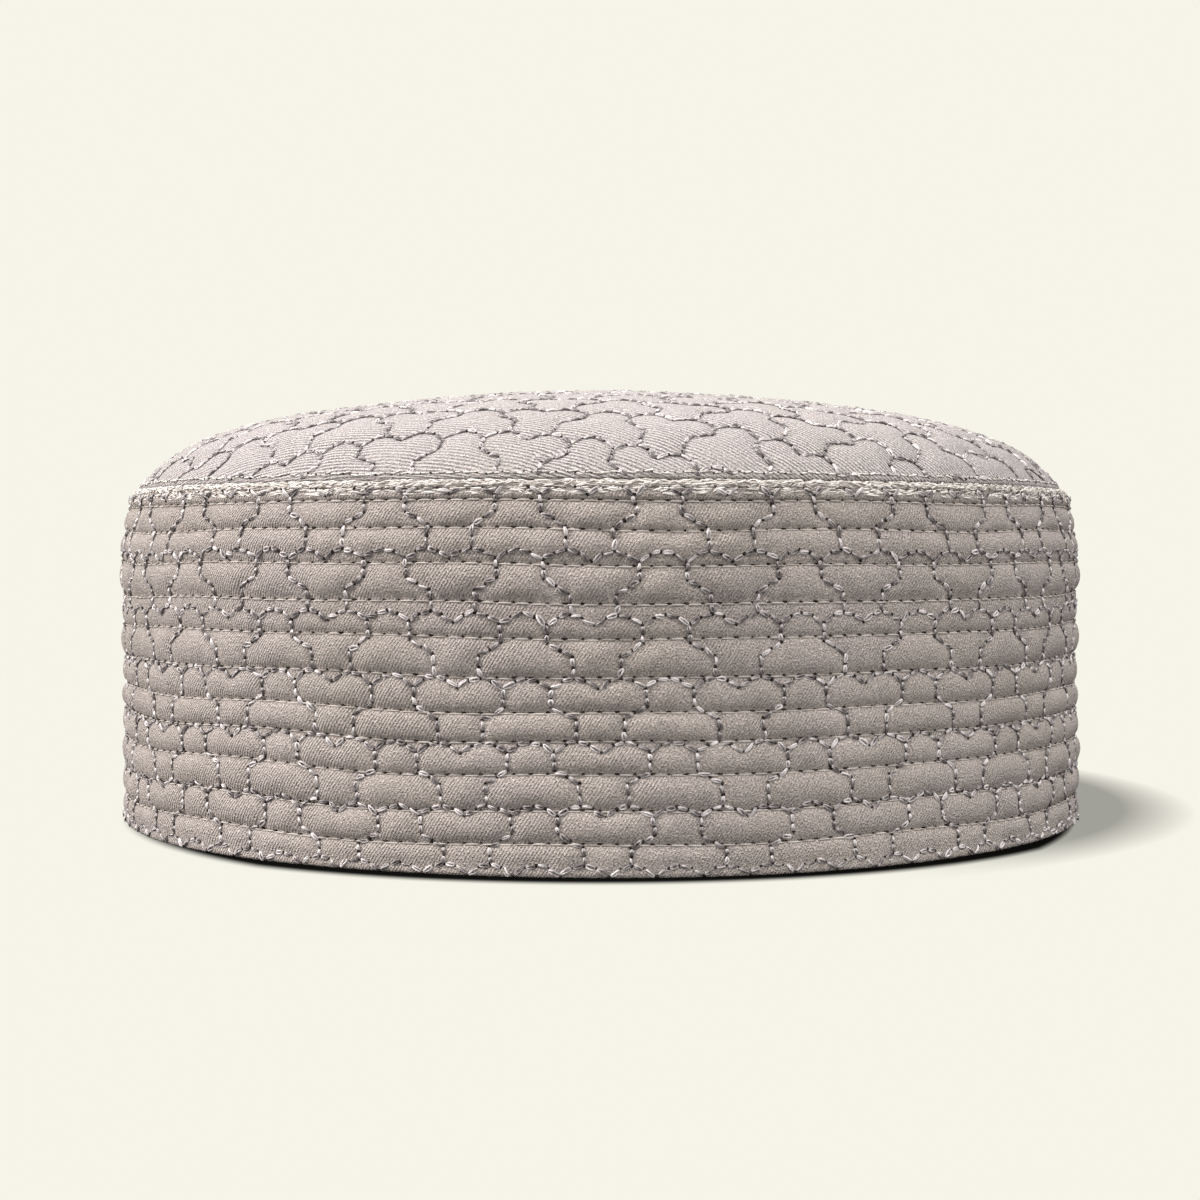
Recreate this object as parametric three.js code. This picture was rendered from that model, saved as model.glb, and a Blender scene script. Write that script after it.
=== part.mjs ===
// A round quilted prayer cap, resting on its rim. Millimetres, +Z up, +Y towards the back.
// The origin is the centre of the rim's bottom plane.
// Three sewn pieces: the side band, the crown and the seam roll that covers their seam.

import * as THREE from 'three';

// Driving sizes of the whole cap.
const CAP_RADIUS = 92.5;
const WALL_THICKNESS = 3.4;
const CAP_HEIGHT = 81.0;
const SEGMENTS_ROUND = 64;

// Side band: quilted rows with a sewn groove between each pair.
const GROOVE_DEPTH = 0.95;
const BAND_TOP = 59.95;
const RIM_ROUNDING = 0.6;
const SHOULDER_START = 52.0;
const SHOULDER_INSET = 1.8;

// One entry for each row of quilting, from the rim up: the height of the seam above the row,
// and how far its crest lies inside the cap's largest radius.
const QUILT_ROWS = [
  { seam: 5.2, inset: 0.3 },
  { seam: 10.4, inset: 0.1 },
  { seam: 16.1, inset: 0.1 },
  { seam: 21.3, inset: 0.2 },
  { seam: 25.8, inset: 0.4 },
  { seam: 31.3, inset: 0.4 },
  { seam: 37.3, inset: 0.3 },
  { seam: 42.7, inset: 0.2 },
  { seam: 48.6, inset: 0.0 },
  { seam: 54.1, inset: 0.1 },
  { seam: 58.6, inset: 0.9 },
  { seam: BAND_TOP, inset: 1.5 },
];

// The cross-section of one padded row: how far up the row, and the share of the full bulge.
const ROW_SECTION = [
  { up: 0.18, bulge: 0.74 },
  { up: 0.5, bulge: 1.0 },
  { up: 0.82, bulge: 0.74 },
];

// Crown: a shallow dome that turns down at its edge.
const CROWN_THICKNESS = 2.6;
const CROWN_RADIUS = 89.8;
const DOME_DROP = 11.2;
const EDGE_DROP = 8.4;
const EDGE_POWER = 12;
const CROWN_STEPS = 10;

// Seam roll: the corded ridge between the crown and the side band.
const SEWN_GAP = 0.3;
const ROLL_HALF = 0.75;
const ROLL_HEIGHT = BAND_TOP + SEWN_GAP + ROLL_HALF;
const ROLL_CENTRE_RADIUS = 89.65;
const ROLL_SIDES = 8;

const INNER_RADIUS = CAP_RADIUS - WALL_THICKNESS;

function revolve(name, section, material) {
  const profile = [...section, section[0]].map(([radius, height]) => new THREE.Vector2(radius, height));
  const geometry = new THREE.LatheGeometry(profile, SEGMENTS_ROUND);
  geometry.rotateX(Math.PI / 2);
  const mesh = new THREE.Mesh(geometry, material);
  mesh.name = name;
  return mesh;
}

function cloth(color, roughness) {
  return new THREE.MeshStandardMaterial({ color, roughness, metalness: 0 });
}

// The outside of the band, row by row from the rim to the top edge.
function quiltedSide() {
  const points = [];
  let below = 0;
  let grooveRadius = CAP_RADIUS - QUILT_ROWS[0].inset - GROOVE_DEPTH;
  for (const row of QUILT_ROWS) {
    const crest = CAP_RADIUS - row.inset;
    points.push([grooveRadius, below]);
    for (const { up, bulge } of ROW_SECTION) {
      const height = below + up * (row.seam - below);
      points.push([crest - GROOVE_DEPTH * (1 - bulge), height]);
    }
    below = row.seam;
    grooveRadius = crest - GROOVE_DEPTH;
  }
  points.push([grooveRadius, BAND_TOP]);
  return points;
}

function sideBand() {
  const inside = [
    [INNER_RADIUS - SHOULDER_INSET, BAND_TOP],
    [INNER_RADIUS, SHOULDER_START],
    [INNER_RADIUS, RIM_ROUNDING],
    [INNER_RADIUS + RIM_ROUNDING / 2, 0],
  ];
  return revolve('side_band', [...quiltedSide(), ...inside], cloth(0xb4a99e, 0.9));
}

function crownHeight(radius) {
  const share = radius / CROWN_RADIUS;
  return CAP_HEIGHT - DOME_DROP * share ** 2 - EDGE_DROP * share ** EDGE_POWER;
}

function crownSlope(radius) {
  const share = radius / CROWN_RADIUS;
  return (2 * DOME_DROP * share + EDGE_POWER * EDGE_DROP * share ** (EDGE_POWER - 1)) / CROWN_RADIUS;
}

// The point on the crown's lining side, one wall thickness under the outside.
function crownInside(radius) {
  const slope = crownSlope(radius);
  const length = Math.hypot(slope, 1);
  const inward = CROWN_THICKNESS / length;
  return [radius - slope * inward, crownHeight(radius) - inward];
}

// The crown's edge turns down behind the seam roll and stands on the band's top edge.
function crown() {
  const lip = ROLL_HEIGHT + ROLL_HALF + SEWN_GAP;
  const foot = BAND_TOP + SEWN_GAP;
  const footRadius = ROLL_CENTRE_RADIUS - ROLL_HALF - SEWN_GAP;
  const edgeRadius = CROWN_RADIUS - 2 * SEWN_GAP;
  const outside = [];
  const inside = [];
  for (let step = 0; step <= CROWN_STEPS; step += 1) {
    const radius = edgeRadius * Math.sin((step / CROWN_STEPS) * (Math.PI / 2));
    const [innerRadius, innerHeight] = crownInside(radius);
    outside.push([radius, crownHeight(radius)]);
    if (innerHeight > lip) {
      inside.push([innerRadius, innerHeight]);
    }
  }
  const edge = [
    [footRadius, lip - SEWN_GAP],
    [footRadius, foot],
    [footRadius - CROWN_THICKNESS, foot],
  ];
  const section = [...outside, ...edge, ...inside.reverse()];
  return revolve('crown', section.reverse(), cloth(0xc4b9b0, 0.9));
}

function seamRoll() {
  const section = [];
  for (let side = 0; side < ROLL_SIDES; side += 1) {
    const angle = (side / ROLL_SIDES) * 2 * Math.PI;
    section.push([
      ROLL_CENTRE_RADIUS + ROLL_HALF * Math.cos(angle),
      ROLL_HEIGHT + ROLL_HALF * Math.sin(angle),
    ]);
  }
  return revolve('seam_roll', section, cloth(0xc9c4c4, 0.6));
}

const cap = new THREE.Group();
cap.add(sideBand(), crown(), seamRoll());

export default cap;
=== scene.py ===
import math

import bpy
import numpy as np
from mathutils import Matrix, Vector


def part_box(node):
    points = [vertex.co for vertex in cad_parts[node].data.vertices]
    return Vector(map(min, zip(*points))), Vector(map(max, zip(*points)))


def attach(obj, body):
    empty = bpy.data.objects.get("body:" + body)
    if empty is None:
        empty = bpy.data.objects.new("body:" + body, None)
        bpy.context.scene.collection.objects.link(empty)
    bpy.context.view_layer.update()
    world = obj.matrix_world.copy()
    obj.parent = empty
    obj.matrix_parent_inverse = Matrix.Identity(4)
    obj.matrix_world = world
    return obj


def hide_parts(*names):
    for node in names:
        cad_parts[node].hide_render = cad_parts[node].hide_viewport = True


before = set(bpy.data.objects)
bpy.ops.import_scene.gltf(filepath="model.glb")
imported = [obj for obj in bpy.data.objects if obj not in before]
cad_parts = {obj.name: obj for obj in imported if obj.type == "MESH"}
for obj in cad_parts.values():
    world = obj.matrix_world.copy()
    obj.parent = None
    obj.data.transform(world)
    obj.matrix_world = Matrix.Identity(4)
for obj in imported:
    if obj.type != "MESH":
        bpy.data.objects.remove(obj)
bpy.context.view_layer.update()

# Side band
# A strip of cotton twill quilted over wadding in close rows, rolled round and joined at the back.
# The ornament is sewn through it too, so the padding dips under every line of stitches.
MM = 0.001
CAP_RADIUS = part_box("side_band")[1].x / MM
BAND_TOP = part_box("side_band")[1].z / MM
INNER_RADIUS = 89.1
# Each row of quilting, from the rim up: the height of the seam above it, and how far its crest
# lies inside the cap's largest radius, in millimetres.
QUILT_ROWS = (
    (5.2, 0.0), (10.4, 0.1), (16.1, 0.1), (21.3, 0.2), (25.8, 0.4), (31.3, 0.4),
    (37.3, 0.3), (42.7, 0.2), (48.6, 0.0), (54.1, 0.1), (58.6, 1.15), (60.2, 2.0),
)
SEAMS = np.array([0.0] + [seam for seam, _ in QUILT_ROWS])
ROW_MIDDLES = (SEAMS[1:] + SEAMS[:-1]) / 2
ROW_INSETS = [inset for _, inset in QUILT_ROWS]
# A groove is this deep beside a full row, and shallower beside a lower one.
GROOVE_DEPTH = 1.15
FULL_ROW = 4.0
row_depths = GROOVE_DEPTH * np.minimum(1, (SEAMS[1:] - SEAMS[:-1]) / FULL_ROW)
LOCKSTITCH = 2.7
PATTERN_TOP = SEAMS[-1]

# The ornament: scalloped lines, and between them pairs of upright lines that step inwards.
# One repeat holds three scallops and two uprights; u runs from 0 to 3 across it.
REPEATS_ROUND = 26
REPEAT = 2 * math.pi / REPEATS_ROUND
SCALLOPS = 3
LINKS_PER_SCALLOP = 4
SCALLOP_LINES = (60.2, 50.0, 40.2, 30.3, 20.3, 10.3, 1.05)
SCALLOP_HALF = 0.8
PHASE_AT_TOP = math.radians(7.98)
PHASE_PER_MM = math.radians(0.035)
UPRIGHT_TOP = 2.9
UPRIGHT_STEP = 2.0
SCALLOP_U = np.arange(SCALLOPS * LINKS_PER_SCALLOP + 1) / LINKS_PER_SCALLOP


def band_phase(height):
    """The angle where the first repeat starts, which leans with the height."""
    return PHASE_AT_TOP + PHASE_PER_MM * (PATTERN_TOP - height)


def scallop_needles(line):
    """Needle points (u, height) of one repeat of a scalloped line: rounded tops, sharp dips."""
    rise = 2 * SCALLOP_HALF * np.abs(np.sin(math.pi * SCALLOP_U))
    return np.stack([SCALLOP_U, line - SCALLOP_HALF + rise], axis=1)


def upright_needles(line, line_below, side):
    """Needle points of an upright line, from a dip down to a top of the scallops below it."""
    start = line - SCALLOP_HALF
    end = line_below + SCALLOP_HALF
    step = start - UPRIGHT_TOP
    neck = step - UPRIGHT_STEP
    points = np.array([
        (0.0, start),
        (0.0, (start + step) / 2),
        (0.0, step),
        (0.25, (step + neck) / 2),
        (0.5, neck),
        (0.5, (neck + end) / 2),
        (0.5, end),
    ])
    return points if side > 0 else mirrored(points)


def mirrored(needles):
    """The second upright of a repeat, which mirrors the first about the line u = 1."""
    return np.stack([2 - needles[:, 0], needles[:, 1]], axis=1)


def thread_line(needles, spacing):
    """Close points along the straight runs between needle points."""
    runs = [np.linspace(a, b, max(2, int(abs(b - a).sum() / spacing))) for a, b in zip(needles, needles[1:])]
    return np.concatenate(runs)


def summed(field, own):
    """Each cell's own value, taken so many times, and its four neighbours'. The field repeats."""
    return (own * field + np.roll(field, 1, 0) + np.roll(field, -1, 0)
            + np.roll(field, 1, 1) + np.roll(field, -1, 1))


def stretched_cloth(sewn, sewn_height, cell, reach, rounds=700):
    """The height of cloth that wadding pushes up everywhere but at the sewn cells."""
    height = np.zeros(sewn.shape)
    hold = 4 + (cell / reach) ** 2
    for _ in range(rounds):
        height = (summed(height, 0) + cell ** 2) / hold
        height[sewn] = sewn_height[sewn]
    return height


def softened(field, rounds, kept):
    """A field with its sharp folds rounded off, apart from the kept cells."""
    for _ in range(rounds):
        field = np.where(kept, field, summed(field, 4) / 8)
    return field


def spread(marked, rounds=3):
    """Marked cells with a soft edge, which fades over the cells beside them."""
    field = marked.astype(float)
    for _ in range(rounds):
        field = summed(field, 1) / 5
    return field


def sampled(field, across, up):
    """A field's value between its cells; it repeats across, and up where its rows do too."""
    rows, columns = field.shape
    x = np.asarray(across) * columns
    y = np.asarray(up)
    x0 = np.floor(x).astype(int)
    y0 = np.floor(y).astype(int)
    fx = x - x0
    fy = y - y0
    lower = field[y0 % rows, x0 % columns] * (1 - fx) + field[y0 % rows, (x0 + 1) % columns] * fx
    upper = (field[(y0 + 1) % rows, x0 % columns] * (1 - fx)
             + field[(y0 + 1) % rows, (x0 + 1) % columns] * fx)
    return lower * (1 - fy) + upper * fy


def ripple(angle, height, seed, turns, pitch, waves=7):
    """Slight unevenness that closes round the cap: a few sine waves, each of whole turns."""
    draw = np.random.default_rng(seed)
    total = np.zeros(np.broadcast(angle, height).shape)
    for _ in range(waves):
        count = draw.integers(turns[0], turns[1] + 1)
        lean = draw.uniform(-1, 1) * 2 * math.pi / pitch
        start = draw.uniform(0, 2 * math.pi)
        total = total + np.sin(count * angle + lean * height + start)
    return total / math.sqrt(waves)


# The padding is worked out on one flat repeat of the pattern, in small cells.
CELL = 0.2
THREAD_SPACING = 0.04
FIELD_COLUMNS = int(REPEAT * CAP_RADIUS / CELL)
FIELD_ROWS = int(PATTERN_TOP / CELL) + 1
PADDING_REACH = 3.5
# The share of its free height that the padding keeps under the ornament and at its needle points.
ORNAMENT_SINK = 0.22
NEEDLE_SINK = 0.05
PILLOW_ROUNDNESS = 0.7
BAND_SOFTENING = 4


def thread_cells(points):
    """Rows and columns of the cells under a line of thread, which is three cells wide."""
    rows = np.round(points[:, 1] / CELL).astype(int)
    columns = (points[:, 0] / SCALLOPS * FIELD_COLUMNS).astype(int)
    inside = (rows >= 0) & (rows < FIELD_ROWS)
    return rows[inside, None], (columns[inside, None] + (-1, 0, 1)) % FIELD_COLUMNS


quilted = np.zeros((FIELD_ROWS, FIELD_COLUMNS), bool)
quilted[np.round(SEAMS / CELL).astype(int)] = True
free_rise = stretched_cloth(quilted, np.zeros(quilted.shape), CELL, PADDING_REACH)

ornament = np.zeros(quilted.shape, bool)
sunk = np.full(quilted.shape, ORNAMENT_SINK)
band_lines = [scallop_needles(line) for line in SCALLOP_LINES]
for line, line_below in zip(SCALLOP_LINES, SCALLOP_LINES[1:]):
    band_lines += [upright_needles(line, line_below, side) for side in (1, -1)]
for needles in band_lines:
    ornament[thread_cells(thread_line(needles, THREAD_SPACING))] = True
    sunk[thread_cells(needles)] = NEEDLE_SINK
near_ornament = spread(ornament)

sewn_down = stretched_cloth(quilted | ornament, np.where(quilted, 0, sunk * free_rise), CELL, PADDING_REACH)
last_row = len(ROW_MIDDLES) - 1
row_of_cell = np.clip(np.searchsorted(SEAMS, np.arange(FIELD_ROWS) * CELL) - 1, 0, last_row)
row_crest = np.array([free_rise[row_of_cell == row].max() for row in range(last_row + 1)])
fullness = (sewn_down / row_crest[row_of_cell][:, None]) ** PILLOW_ROUNDNESS
band_puff = softened(fullness, BAND_SOFTENING, quilted)

# The wadding pushes the crests this far past the cap's radius.
PADDING_PROUD = 0.38
# The folded hem stays full to the floor, and its lowest edge curls under.
HEM_HEIGHT = 0.5
HEM_CURL = 0.25
HEM_FULL = 0.9
HEM_FULLNESS = 0.55
# Each lockstitch draws the cloth in, and the join at the back presses it flat.
SEAM_PULL = 0.07
SEAM_PULL_REACH = 0.9
JOIN_FLATNESS = 0.8
JOIN_REACH = 0.9
# Handwork is uneven in its padding, its surface, its roundness and the height of its lines.
UNEVEN_PADDING = 0.07
SURFACE_LUMPS = 0.06
OUT_OF_ROUND = 0.16
LINE_STRAY = 0.3
STRAY_FADE = 4.0


def on_band(field, angle, height):
    """The value of a field of the pattern at a place on the band."""
    across = ((angle - band_phase(height)) / REPEAT) % 1
    return sampled(field, across, np.clip(height, 0, PATTERN_TOP - CELL) / CELL)


def out_of_round(angle, height):
    return OUT_OF_ROUND * ripple(angle, height, seed=13, turns=(2, 6), pitch=60.0)


def band_radius(angle, height):
    inset = np.interp(height, ROW_MIDDLES, ROW_INSETS)
    depth = np.interp(height, ROW_MIDDLES, row_depths)
    curl = np.clip(1 - height / HEM_HEIGHT, 0, 1)
    groove = CAP_RADIUS + PADDING_PROUD - inset - depth - HEM_CURL * curl ** 2
    hem_puff = HEM_FULLNESS * np.clip(2 - height / HEM_FULL, 0, 1)
    puff = np.maximum(on_band(band_puff, angle, height), hem_puff)
    from_seam = np.abs(height[..., None] - SEAMS).min(axis=-1)
    stitch_turn = angle * CAP_RADIUS / LOCKSTITCH * 2 * math.pi
    pull = np.exp(-((from_seam / SEAM_PULL_REACH) ** 2)) * np.cos(stitch_turn)
    from_join = np.abs(np.abs(angle) - math.pi) * CAP_RADIUS
    join = 1 - JOIN_FLATNESS * np.exp(-((from_join / JOIN_REACH) ** 2))
    uneven = 1 + UNEVEN_PADDING * ripple(angle, height, seed=11, turns=(40, 160), pitch=9.0)
    lumps = (SURFACE_LUMPS * ripple(angle, height, seed=12, turns=(20, 90), pitch=14.0)
             + out_of_round(angle, height))
    return groove + depth * puff * uneven * join - SEAM_PULL * pull + lumps


def round_axis(radius, angle, height):
    """Places round the cap's axis, in millimetres. Angle 0 faces the camera."""
    axes = np.broadcast_arrays(radius * np.sin(angle), -radius * np.cos(angle), height)
    return np.stack(axes, axis=-1)


def band_point(angle, height, lift=0.0):
    """A place on the outside of the band."""
    ends = np.clip(np.minimum(height, PATTERN_TOP - height) / STRAY_FADE, 0, 1)
    stray = LINE_STRAY * ends * ripple(angle, height, seed=1544, turns=(3, 12), pitch=30.0)
    return round_axis(band_radius(angle, height) + lift, angle, height + stray)


def face_away(piece):
    """Points the faces of a closed piece outwards."""
    bpy.context.view_layer.objects.active = piece
    bpy.ops.object.mode_set(mode="EDIT")
    bpy.ops.mesh.select_all(action="SELECT")
    bpy.ops.mesh.remove_doubles(threshold=1e-6)
    bpy.ops.mesh.normals_make_consistent(inside=False)
    bpy.ops.object.mode_set(mode="OBJECT")
    bpy.ops.object.shade_smooth()


def thinned(piece, most):
    """Brings a piece down to a number of triangles, which it keeps where the cloth bends most."""
    triangles = sum(len(face.vertices) - 2 for face in piece.data.polygons)
    thin = piece.modifiers.new("thin", "DECIMATE")
    thin.ratio = min(1.0, most / triangles)
    bpy.ops.object.modifier_apply(modifier=thin.name)


# The band's section runs up the outside, over the top edge and down the lining to the hem.
# On each row of the outside its points lie closest beside the seams, where the cloth bends most.
BAND_COLUMNS = 1200
BAND_TRIANGLES = 180000
OUTSIDE_SHARES = (0.0, 0.06, 0.17, 0.32, 0.5, 0.68, 0.83, 0.94)
# Radius of the cloth where it turns in over the top edge, and its height above that edge.
TOP_TURN = ((90.35, 0.3), (89.9, 0.5), (89.2, 0.3))
SHOULDER_START = 52.0
SHOULDER_INSET = 1.8
LINING_SWELL = 0.2
LINING_FOOT = 0.7
# Radius and height of the two lowest points of the lining's hem, and the run to the outside.
HEM_TURN = [(89.5, 0.0), (89.75, 0.0)]
HEM_RUN = 0.4


def lining_radius(height):
    past_shoulder = max(0, height - SHOULDER_START)
    return INNER_RADIUS - SHOULDER_INSET * past_shoulder / (BAND_TOP - SHOULDER_START)


row_tops = np.minimum(SEAMS[1:], BAND_TOP)
outside_heights = [low + share * (high - low) for low, high in zip(SEAMS[:-1], row_tops)
                   for share in OUTSIDE_SHARES] + [BAND_TOP]
lining = [(radius, BAND_TOP + above) for radius, above in TOP_TURN]
lining.append((lining_radius(BAND_TOP), BAND_TOP))
for low, high in zip(SEAMS[-2::-1], row_tops[::-1]):
    middle = (low + high) / 2
    lining.append((lining_radius(middle) - LINING_SWELL, middle))
    lining.append((lining_radius(low) + LINING_SWELL / 2, max(low, LINING_FOOT)))
turned = np.array(lining + HEM_TURN)
section_steps = len(outside_heights) + len(turned)

bpy.ops.object.select_all(action="DESELECT")
bpy.ops.mesh.primitive_grid_add(x_subdivisions=BAND_COLUMNS, y_subdivisions=section_steps, size=2)
band = bpy.context.object
band.name = "quilted_side_band"


def flat_places(piece):
    """The piece's points as it was laid flat, from -1 to 1 across and up."""
    flat = np.zeros(len(piece.data.vertices) * 3)
    piece.data.vertices.foreach_get("co", flat)
    return flat.reshape(-1, 3)[:, :2]


def cloth_map(piece, places):
    """Lays the weave on the cloth: places on the flat cloth for each point, in millimetres."""
    corners = np.zeros(len(piece.data.loops), int)
    piece.data.loops.foreach_get("vertex_index", corners)
    piece.data.uv_layers[0].name = "weave"
    piece.data.uv_layers[0].data.foreach_set("uv", places[corners].ravel())


def tinted(piece, name, values):
    """Gives each point of a piece a value that its material reads."""
    layer = piece.data.attributes.new(name, "FLOAT", "POINT")
    layer.data.foreach_set("value", np.asarray(values, np.float32))


# The cloth is painted darker beside a line of stitches, as painted shade in the pinch there. This makes that
# strip of painted shade wide enough to see.
PINCH_SHADE_GAIN = 2.2

flat = flat_places(band)
angle = flat[:, 0] * math.pi
step_along = np.round((flat[:, 1] + 1) / 2 * section_steps).astype(int)
step_of_point = step_along % section_steps
section_heights = np.concatenate([outside_heights, turned[:, 1]])
heights = section_heights[step_of_point]
on_outside = step_of_point < len(outside_heights)
step_inside = np.clip(step_of_point - len(outside_heights), 0, len(turned) - 1)
inner_radius = turned[step_inside, 0] + out_of_round(angle, 0 * angle)
places = np.where(on_outside[:, None], band_point(angle, heights), round_axis(inner_radius, angle, heights))
section_radius = np.concatenate([np.full(len(outside_heights), CAP_RADIUS), turned[:, 0]])
section_runs = np.hypot(np.diff(section_radius), np.diff(section_heights))
section_length = np.concatenate([[0], np.cumsum(np.append(section_runs, HEM_RUN))])
cloth_map(band, np.stack([angle * CAP_RADIUS, section_length[step_along]], axis=-1))
# Painted shade: the cloth darkens in the pinch beside the ornament.
pinch_shade = np.clip(on_band(near_ornament, angle, heights) * PINCH_SHADE_GAIN, 0, 1)
tinted(band, "pinch_shade", pinch_shade * on_outside)
band.data.vertices.foreach_set("co", (places * MM).ravel())
face_away(band)
thinned(band, BAND_TRIANGLES)


def add_node(material, kind, links=None, values=None, **settings):
    """Adds a shader node. A link comes from a socket, or from a node's first output."""
    node = material.node_tree.nodes.new("ShaderNode" + kind)
    for name, value in settings.items():
        setattr(node, name, value)
    for socket, value in (values or {}).items():
        node.inputs[socket].default_value = value
    for socket, source in (links or {}).items():
        if isinstance(source, bpy.types.Node):
            source = source.outputs[0]
        material.node_tree.links.new(source, node.inputs[socket])
    return node


def maths(material, operation, *terms, **settings):
    """Adds a node of arithmetic on these terms, each a number or what another node gives."""
    fixed = {place: term for place, term in enumerate(terms) if isinstance(term, (int, float))}
    linked = {place: term for place, term in enumerate(terms) if place not in fixed}
    return add_node(material, "Math", linked, fixed, operation=operation, **settings)


def ramp(material, source, low, high, first=0.0, last=1.0, smooth=False):
    """Adds a node that turns low to high into first to last, evenly or with soft ends."""
    return add_node(material, "MapRange", {"Value": source},
                    {"From Min": low, "From Max": high, "To Min": first, "To Max": last},
                    interpolation_type="SMOOTHSTEP" if smooth else "LINEAR")


def new_material(name):
    """A new material and its shader."""
    material = bpy.data.materials.new(name)
    material.use_nodes = True
    return material, material.node_tree.nodes["Principled BSDF"]


def linear(hex_colour):
    """An sRGB hex colour as the linear values that a shader takes."""
    shares = [int(hex_colour[place:place + 2], 16) / 255 for place in (1, 3, 5)]
    return [share / 12.92 if share <= 0.04045 else ((share + 0.055) / 1.055) ** 2.4
            for share in shares] + [1.0]


# How fine the cloth's changes are: its yarn, its fuzz and its worn patches in each millimetre,
# and its tint in each metre. An uneven yarn shifts a rib by YARN_DRIFT radians.
YARN_PER_MM = 1.1
FUZZ_PER_MM = 3.0
WORN_PER_MM = 0.07
TINTS_PER_METRE = 45.0
YARN_DRIFT = 2.4
FUZZ_SHADE = 0.38
PINCH_SHADE_STRENGTH = -0.16
RIB_RELIEF = 0.9
WEAVE_RELIEF = 0.2 * MM


def cotton_twill(name, rib_angle, rib_pitch, rib_shade, faintest, warm, pink):
    """Matt cotton twill, woven warm grey: fine slanting ribs, uneven yarn and a soft fuzz."""
    twill, shader = new_material(name)
    weave = add_node(twill, "UVMap", uv_map="weave")
    body = add_node(twill, "TexCoord").outputs["Object"]
    ribs_per_mm = 2 * math.pi / rib_pitch
    slant = (math.sin(rib_angle) * ribs_per_mm, -math.cos(rib_angle) * ribs_per_mm, 0)
    across_ribs = add_node(twill, "VectorMath", {0: weave}, {1: slant}, operation="DOT_PRODUCT")
    yarn = add_node(twill, "TexNoise", {"Vector": weave}, {"Scale": YARN_PER_MM, "Detail": 3.0})
    ribs_at = maths(twill, "MULTIPLY_ADD", yarn, YARN_DRIFT, across_ribs.outputs["Value"])
    ribs = maths(twill, "SINE", ribs_at)
    worn = add_node(twill, "TexNoise", {"Vector": weave}, {"Scale": WORN_PER_MM, "Detail": 2.0})
    clear = ramp(twill, worn, 0.32, 0.58, faintest, 1.0)
    ribs_seen = maths(twill, "MULTIPLY", ribs, clear)
    grain = add_node(twill, "TexNoise", {"Vector": weave},
                     {"Scale": FUZZ_PER_MM, "Detail": 2.0, "Roughness": 0.65})
    fuzz = ramp(twill, grain, 0.34, 0.66, -1.0, 1.0)
    patches = add_node(twill, "TexNoise", {"Vector": body}, {"Scale": TINTS_PER_METRE, "Detail": 2.0})
    tint = add_node(twill, "Mix", {"Factor": patches}, {"A": linear(warm), "B": linear(pink)},
                    data_type="RGBA").outputs["Result"]
    shade = maths(twill, "MULTIPLY", ribs_seen, rib_shade)
    specks = maths(twill, "MULTIPLY_ADD", fuzz, FUZZ_SHADE, shade)
    # Painted shade: the cloth is darker where it is pinched beside stitches.
    sewn = add_node(twill, "Attribute", attribute_name="pinch_shade").outputs["Fac"]
    pinch_shaded = maths(twill, "MULTIPLY_ADD", sewn, PINCH_SHADE_STRENGTH, specks)
    level = maths(twill, "ADD", pinch_shaded, 1.0)
    colour = add_node(twill, "VectorMath", {0: tint, "Scale": level}, operation="SCALE")
    height = maths(twill, "MULTIPLY_ADD", ribs_seen, RIB_RELIEF, fuzz)
    bump = add_node(twill, "Bump", {"Height": height}, {"Strength": 1.0, "Distance": WEAVE_RELIEF})
    twill.node_tree.links.new(colour.outputs[0], shader.inputs["Base Color"])
    twill.node_tree.links.new(bump.outputs[0], shader.inputs["Normal"])
    shader.inputs["Roughness"].default_value = 0.9
    shader.inputs["Specular IOR Level"].default_value = 0.3
    shader.inputs["Sheen Weight"].default_value = 0.2
    shader.inputs["Sheen Roughness"].default_value = 0.5
    return twill


def finished(piece, material, slot, *nodes):
    """Gives a piece its material, ties it to the cap's body and hides the solids it stands for."""
    piece.data.materials.clear()
    piece.data.materials.append(material)
    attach(piece, "root")
    if nodes:
        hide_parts(*nodes)


side_twill = cotton_twill("side_twill", rib_angle=math.radians(57), rib_pitch=0.5, rib_shade=0.18,
                          faintest=0.15, warm="#CDC0B3", pink="#D9CBC5")
finished(band, side_twill, "cotton_twill", "side_band")

# Crown
# A round of the same cloth, quilted only by its ornament and shaped to a shallow dome.
# Its cut edge is turned down behind the seam roll and stands on the top of the band.
CAP_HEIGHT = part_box("crown")[1].z / MM
CROWN_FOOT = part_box("crown")[0].z / MM
CROWN_RADIUS = 89.8
CROWN_EDGE = 89.2
CROWN_FOOT_RADIUS = 88.55
CROWN_THICKNESS = 2.4
DOME_DROP = 11.2
EDGE_DROP = 8.4
EDGE_POWER = 12
MERIDIAN_POINTS = 400
# Past its edge the cloth rounds over, inwards and down, and then tucks in behind the roll.
ROUNDED_IN = 0.2
ROUNDED_DOWN = 0.25
TUCKED_DOWN = 0.55


def crown_height(radius):
    share = radius / CROWN_RADIUS
    return CAP_HEIGHT - DOME_DROP * share ** 2 - EDGE_DROP * share ** EDGE_POWER


outer_radii = CROWN_EDGE * np.sin(np.linspace(0, math.pi / 2, MERIDIAN_POINTS))
edge_height = crown_height(CROWN_EDGE)
meridian = np.concatenate([
    np.stack([outer_radii, crown_height(outer_radii)], axis=-1),
    [(CROWN_EDGE - ROUNDED_IN, edge_height - ROUNDED_DOWN),
     (CROWN_FOOT_RADIUS, edge_height - TUCKED_DOWN),
     (CROWN_FOOT_RADIUS, CROWN_FOOT)],
])
meridian_length = np.concatenate([[0], np.cumsum(np.hypot(*np.diff(meridian, axis=0).T))])
DOME_LENGTH = meridian_length[MERIDIAN_POINTS - 1]
DISC_RADIUS = meridian_length[-1]
meridian_slope = np.gradient(meridian, meridian_length, axis=0)

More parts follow.
